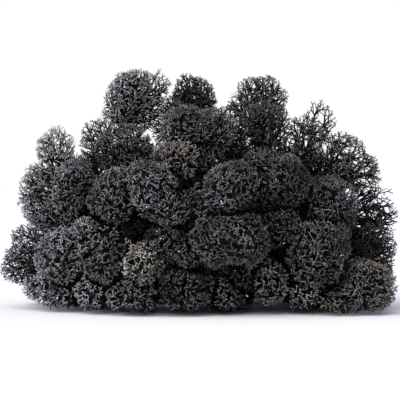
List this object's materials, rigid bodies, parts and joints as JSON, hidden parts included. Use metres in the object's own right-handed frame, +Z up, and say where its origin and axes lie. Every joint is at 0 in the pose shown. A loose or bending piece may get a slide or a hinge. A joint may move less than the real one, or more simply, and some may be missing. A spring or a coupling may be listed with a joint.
{
  "type": "reindeer moss clump",
  "caption": "Heap of dried reindeer lichen dyed black: rounded tufts of finely forked branches whose feet interlock in the middle, resting on its lowest tufts.",
  "frame": {"origin": "on the floor, under the middle of the heap's bounding box", "axes": "+Z up, +X along the heap's long side to the right as seen from the front, the front faces -Y"},
  "size_m": [0.1952, 0.1354, 0.1191],
  "materials": {
    "moss_black": "matt, dyed black, greyer on the branch tips",
    "moss_olive": "matt, thinly dyed black over olive brown",
    "moss_pale": "matt, thinly dyed, greyish straw"
  },
  "bodies": {
    "root": {"sprig_left_high": "moss_olive", "sprig_right_low": "moss_black", "sprig_right_top": "moss_black", "tuft_back_crown": "moss_black", "tuft_back_floor_far_right": "moss_black", "tuft_back_floor_left": "moss_black", "tuft_back_floor_left_middle": "moss_black", "tuft_back_floor_middle": "moss_black", "tuft_back_floor_middle_right": "moss_black", "tuft_back_floor_right": "moss_black", "tuft_back_high_far_right": "moss_black", "tuft_back_high_left": "moss_black", "tuft_back_high_left_middle": "moss_black", "tuft_back_high_middle": "moss_black", "tuft_back_high_right": "moss_black", "tuft_back_low_far_right": "moss_black", "tuft_back_low_left": "moss_black", "tuft_back_low_left_middle": "moss_black", "tuft_back_low_middle": "moss_black", "tuft_back_low_right": "moss_black", "tuft_breast": "moss_black", "tuft_crown_left": "moss_black", "tuft_crown_middle": "moss_olive", "tuft_crown_right": "moss_black", "tuft_dark_middle": "moss_black", "tuft_end_right": "moss_black", "tuft_floor_far_right": "moss_olive", "tuft_floor_left": "moss_black", "tuft_floor_left_middle": "moss_black", "tuft_floor_middle": "moss_black", "tuft_floor_middle_left": "moss_black", "tuft_floor_middle_right": "moss_black", "tuft_floor_right": "moss_black", "tuft_floor_right_middle": "moss_black", "tuft_front_lobes": "moss_black", "tuft_heart_left": "moss_black", "tuft_heart_right": "moss_black", "tuft_high_gap": "moss_black", "tuft_high_middle": "moss_black", "tuft_high_right": "moss_black", "tuft_left_belly": "moss_black", "tuft_left_gap": "moss_black", "tuft_left_high": "moss_black", "tuft_left_low": "moss_black", "tuft_left_middle": "moss_black", "tuft_left_shoulder": "moss_black", "tuft_low_gap": "moss_black", "tuft_low_left_middle": "moss_black", "tuft_low_middle_left": "moss_black", "tuft_low_right_inner": "moss_black", "tuft_olive_middle": "moss_olive", "tuft_olive_right": "moss_olive", "tuft_pale": "moss_pale", "tuft_right_belly": "moss_black", "tuft_right_dark": "moss_black", "tuft_right_high": "moss_black", "tuft_right_middle": "moss_black", "tuft_small_ledge": "moss_black", "tuft_star": "moss_black"}
  },
  "joints": []
}
